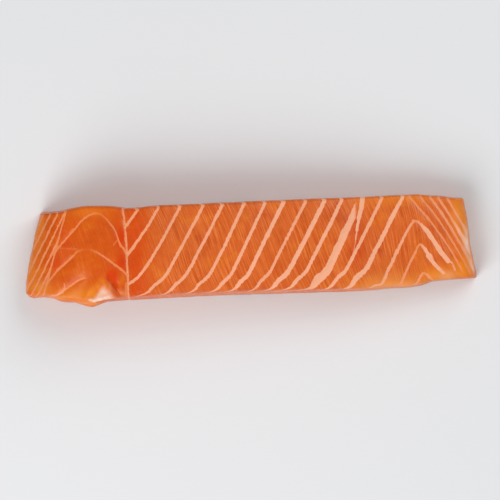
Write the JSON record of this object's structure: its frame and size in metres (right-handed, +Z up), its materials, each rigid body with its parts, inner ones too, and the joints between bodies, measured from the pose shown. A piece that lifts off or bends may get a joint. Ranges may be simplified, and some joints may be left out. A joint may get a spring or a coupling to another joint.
{
  "type": "skinless salmon fillet",
  "caption": "Raw skinless salmon portion: a long slab, thick and rounded at the back edge and thin at the belly edge, with relief of its muscle blocks.",
  "frame": {"origin": "middle of the portion's box, on the flat skinned face that it rests on", "axes": "+Z up, out of the bone side; +X from the back of the fish to its belly; +Y along the fish"},
  "size_m": [0.173, 0.0388, 0.0264],
  "materials": {
    "flesh": "moist"
  },
  "bodies": {
    "root": {"fillet": "flesh"}
  },
  "joints": []
}
